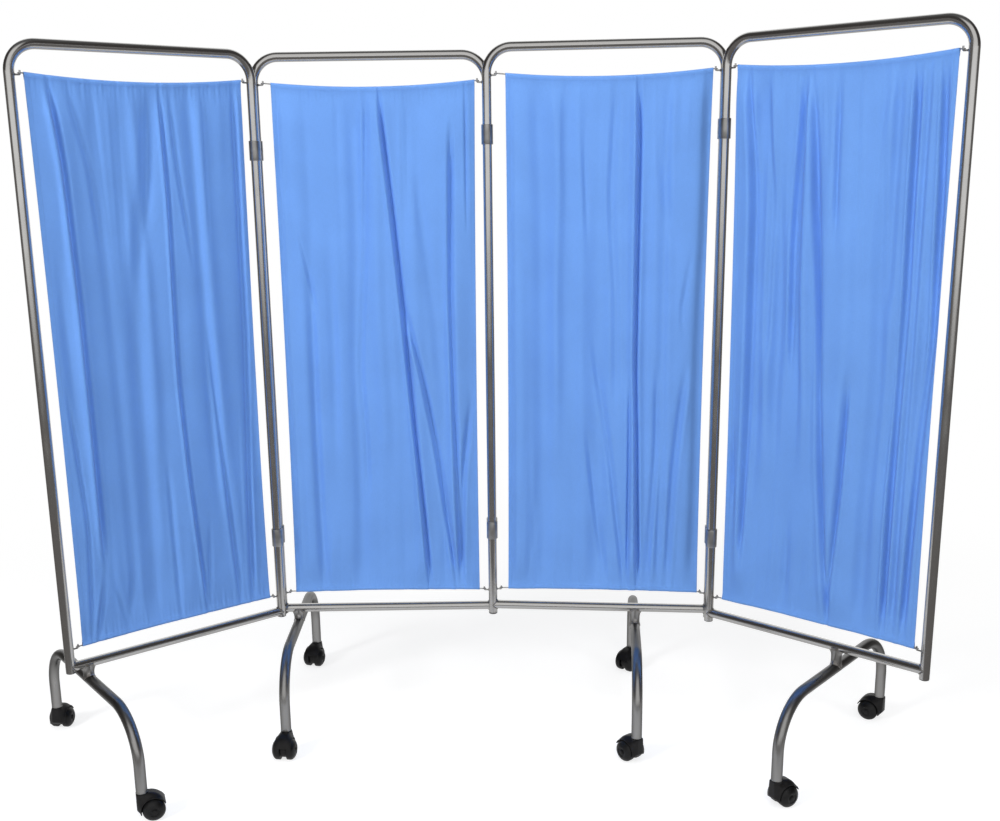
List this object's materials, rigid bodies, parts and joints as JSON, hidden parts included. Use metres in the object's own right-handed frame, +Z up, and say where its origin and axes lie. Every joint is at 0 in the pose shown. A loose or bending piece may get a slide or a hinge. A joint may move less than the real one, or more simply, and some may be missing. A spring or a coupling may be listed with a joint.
{
  "type": "folding ward privacy screen on casters",
  "caption": "Folding bedside privacy screen: bent bright tube frames hinged post to post, each on an arched leg with swivel casters, with gathered blue curtains.",
  "frame": {"origin": "on the floor, under the middle of the whole screen's box", "axes": "+Z up, -Y towards the front that the picture shows, +X to the right along the second leaf seen from the front"},
  "size_m": [2.1346, 0.8656, 1.66],
  "materials": {
    "bright_tube": "polished steel tube, a little brushed along its length",
    "clip_steel": "satin pressed steel",
    "wire_steel": "plain drawn wire",
    "zinc_steel": "zinc plated",
    "blue_cloth": "plain woven polyester cotton, soft sheen",
    "black_nylon": "fine grained moulded nylon",
    "black_wheel": "smooth moulded wheel",
    "grey_plug": "moulded tube plug"
  },
  "bodies": {
    "panel_2": {"panel_2_frame": "bright_tube", "panel_2_leg": "bright_tube", "panel_2_curtain": "blue_cloth", "panel_2_top_wire": "wire_steel", "panel_2_bottom_wire": "wire_steel", "panel_2_front_caster_stem": "zinc_steel", "panel_2_back_caster_stem": "zinc_steel", "joint_1_upper_clip": "clip_steel", "joint_1_lower_clip": "clip_steel"},
    "panel_1": {"panel_1_frame": "bright_tube", "panel_1_leg": "bright_tube", "panel_1_curtain": "blue_cloth", "panel_1_top_wire": "wire_steel", "panel_1_bottom_wire": "wire_steel", "panel_1_front_caster_stem": "zinc_steel", "panel_1_back_caster_stem": "zinc_steel"},
    "panel_3": {"panel_3_frame": "bright_tube", "panel_3_leg": "bright_tube", "panel_3_curtain": "blue_cloth", "panel_3_top_wire": "wire_steel", "panel_3_bottom_wire": "wire_steel", "panel_3_front_caster_stem": "zinc_steel", "panel_3_back_caster_stem": "zinc_steel", "joint_2_upper_clip": "clip_steel", "joint_2_lower_clip": "clip_steel", "joint_3_upper_clip": "clip_steel", "joint_3_lower_clip": "clip_steel"},
    "panel_4": {"panel_4_frame": "bright_tube", "panel_4_leg": "bright_tube", "panel_4_curtain": "blue_cloth", "panel_4_top_wire": "wire_steel", "panel_4_bottom_wire": "wire_steel", "panel_4_front_caster_stem": "zinc_steel", "panel_4_back_caster_stem": "zinc_steel"},
    "caster_1_front": {"panel_1_front_caster_hood": "black_nylon"},
    "caster_1_front_left_wheel": {"panel_1_front_caster_left_wheel": "black_wheel"},
    "caster_1_front_right_wheel": {"panel_1_front_caster_right_wheel": "black_wheel"},
    "caster_1_back": {"panel_1_back_caster_hood": "black_nylon"},
    "caster_1_back_left_wheel": {"panel_1_back_caster_left_wheel": "black_wheel"},
    "caster_1_back_right_wheel": {"panel_1_back_caster_right_wheel": "black_wheel"},
    "caster_2_front": {"panel_2_front_caster_hood": "black_nylon"},
    "caster_2_front_left_wheel": {"panel_2_front_caster_left_wheel": "black_wheel"},
    "caster_2_front_right_wheel": {"panel_2_front_caster_right_wheel": "black_wheel"},
    "caster_2_back": {"panel_2_back_caster_hood": "black_nylon"},
    "caster_2_back_left_wheel": {"panel_2_back_caster_left_wheel": "black_wheel"},
    "caster_2_back_right_wheel": {"panel_2_back_caster_right_wheel": "black_wheel"},
    "caster_3_front": {"panel_3_front_caster_hood": "black_nylon"},
    "caster_3_front_left_wheel": {"panel_3_front_caster_left_wheel": "black_wheel"},
    "caster_3_front_right_wheel": {"panel_3_front_caster_right_wheel": "black_wheel"},
    "caster_3_back": {"panel_3_back_caster_hood": "black_nylon"},
    "caster_3_back_left_wheel": {"panel_3_back_caster_left_wheel": "black_wheel"},
    "caster_3_back_right_wheel": {"panel_3_back_caster_right_wheel": "black_wheel"},
    "caster_4_front": {"panel_4_front_caster_hood": "black_nylon"},
    "caster_4_front_left_wheel": {"panel_4_front_caster_left_wheel": "black_wheel"},
    "caster_4_front_right_wheel": {"panel_4_front_caster_right_wheel": "black_wheel"},
    "caster_4_back": {"panel_4_back_caster_hood": "black_nylon"},
    "caster_4_back_left_wheel": {"panel_4_back_caster_left_wheel": "black_wheel"},
    "caster_4_back_right_wheel": {"panel_4_back_caster_right_wheel": "black_wheel"}
  },
  "joints": [
    {"name": "fold_1_2", "type": "hinge", "parent": "panel_2", "child": "panel_1", "pos_m": [-0.47599, 0.11893, 1.42289], "axis": [0, 0, 1], "range_deg": [-65, 139]},
    {"name": "fold_2_3", "type": "hinge", "parent": "panel_2", "child": "panel_3", "pos_m": [0.06901, 0.14693, 1.42289], "axis": [0, 0, 1], "range_deg": [-30, 182]},
    {"name": "fold_3_4", "type": "hinge", "parent": "panel_3", "child": "panel_4", "pos_m": [0.60839, 0.036, 1.42289], "axis": [0, 0, -1], "range_deg": [-60, 140.5]},
    {"name": "swivel_1_front", "type": "hinge", "parent": "panel_1", "child": "caster_1_front", "pos_m": [-0.70561, -0.40612, 0.056], "axis": [0, 0, 1], "continuous": true},
    {"name": "roll_1_front_left", "type": "hinge", "parent": "caster_1_front", "child": "caster_1_front_left_wheel", "pos_m": [-0.68493, -0.39859, 0.025], "axis": [-0.342, 0.9397, 0], "continuous": true},
    {"name": "roll_1_front_right", "type": "hinge", "parent": "caster_1_front", "child": "caster_1_front_right_wheel", "pos_m": [-0.68493, -0.39859, 0.025], "axis": [-0.342, 0.9397, 0], "continuous": true},
    {"name": "swivel_1_back", "type": "hinge", "parent": "panel_1", "child": "caster_1_back", "pos_m": [-1.04066, 0.02119, 0.056], "axis": [0, 0, 1], "continuous": true},
    {"name": "roll_1_back_left", "type": "hinge", "parent": "caster_1_back", "child": "caster_1_back_left_wheel", "pos_m": [-1.03874, 0.0431, 0.025], "axis": [-0.9962, 0.0872, 0], "continuous": true},
    {"name": "roll_1_back_right", "type": "hinge", "parent": "caster_1_back", "child": "caster_1_back_right_wheel", "pos_m": [-1.03874, 0.0431, 0.025], "axis": [-0.9962, 0.0872, 0], "continuous": true},
    {"name": "swivel_2_front", "type": "hinge", "parent": "panel_2", "child": "caster_2_front", "pos_m": [-0.4362, -0.12457, 0.056], "axis": [0, 0, 1], "continuous": true},
    {"name": "roll_2_front_left", "type": "hinge", "parent": "caster_2_front", "child": "caster_2_front_left_wheel", "pos_m": [-0.43812, -0.14648, 0.025], "axis": [0.9962, -0.0872, 0], "continuous": true},
    {"name": "roll_2_front_right", "type": "hinge", "parent": "caster_2_front", "child": "caster_2_front_right_wheel", "pos_m": [-0.43812, -0.14648, 0.025], "axis": [0.9962, -0.0872, 0], "continuous": true},
    {"name": "swivel_2_back", "type": "hinge", "parent": "panel_2", "child": "caster_2_back", "pos_m": [-0.4362, 0.41843, 0.056], "axis": [0, 0, 1], "continuous": true},
    {"name": "roll_2_back_left", "type": "hinge", "parent": "caster_2_back", "child": "caster_2_back_left_wheel", "pos_m": [-0.4419, 0.39718, 0.025], "axis": [0.9659, -0.2588, 0], "continuous": true},
    {"name": "roll_2_back_right", "type": "hinge", "parent": "caster_2_back", "child": "caster_2_back_right_wheel", "pos_m": [-0.4419, 0.39718, 0.025], "axis": [0.9659, -0.2588, 0], "continuous": true},
    {"name": "swivel_3_front", "type": "hinge", "parent": "panel_3", "child": "caster_3_front", "pos_m": [0.40214, -0.1878, 0.056], "axis": [0, 0, 1], "continuous": true},
    {"name": "roll_3_front_left", "type": "hinge", "parent": "caster_3_front", "child": "caster_3_front_left_wheel", "pos_m": [0.3886, -0.17047, 0.025], "axis": [-0.788, -0.6157, 0], "continuous": true},
    {"name": "roll_3_front_right", "type": "hinge", "parent": "caster_3_front", "child": "caster_3_front_right_wheel", "pos_m": [0.3886, -0.17047, 0.025], "axis": [-0.788, -0.6157, 0], "continuous": true},
    {"name": "swivel_3_back", "type": "hinge", "parent": "panel_3", "child": "caster_3_back", "pos_m": [0.45702, 0.35242, 0.056], "axis": [0, 0, 1], "continuous": true},
    {"name": "roll_3_back_left", "type": "hinge", "parent": "caster_3_back", "child": "caster_3_back_left_wheel", "pos_m": [0.44288, 0.33557, 0.025], "axis": [0.766, -0.6428, 0], "continuous": true},
    {"name": "roll_3_back_right", "type": "hinge", "parent": "caster_3_back", "child": "caster_3_back_right_wheel", "pos_m": [0.44288, 0.33557, 0.025], "axis": [0.766, -0.6428, 0], "continuous": true},
    {"name": "swivel_4_front", "type": "hinge", "parent": "panel_4", "child": "caster_4_front", "pos_m": [0.68245, -0.39281, 0.056], "axis": [0, 0, 1], "continuous": true},
    {"name": "roll_4_front_left", "type": "hinge", "parent": "caster_4_front", "child": "caster_4_front_left_wheel", "pos_m": [0.70187, -0.38249, 0.025], "axis": [-0.4695, 0.8829, 0], "continuous": true},
    {"name": "roll_4_front_right", "type": "hinge", "parent": "caster_4_front", "child": "caster_4_front_right_wheel", "pos_m": [0.70187, -0.38249, 0.025], "axis": [-0.4695, 0.8829, 0], "continuous": true},
    {"name": "swivel_4_back", "type": "hinge", "parent": "panel_4", "child": "caster_4_back", "pos_m": [1.04296, 0.01324, 0.056], "axis": [0, 0, 1], "continuous": true},
    {"name": "roll_4_back_left", "type": "hinge", "parent": "caster_4_back", "child": "caster_4_back_left_wheel", "pos_m": [1.02562, 0.02678, 0.025], "axis": [-0.6157, -0.788, 0], "continuous": true},
    {"name": "roll_4_back_right", "type": "hinge", "parent": "caster_4_back", "child": "caster_4_back_right_wheel", "pos_m": [1.02562, 0.02678, 0.025], "axis": [-0.6157, -0.788, 0], "continuous": true}
  ]
}
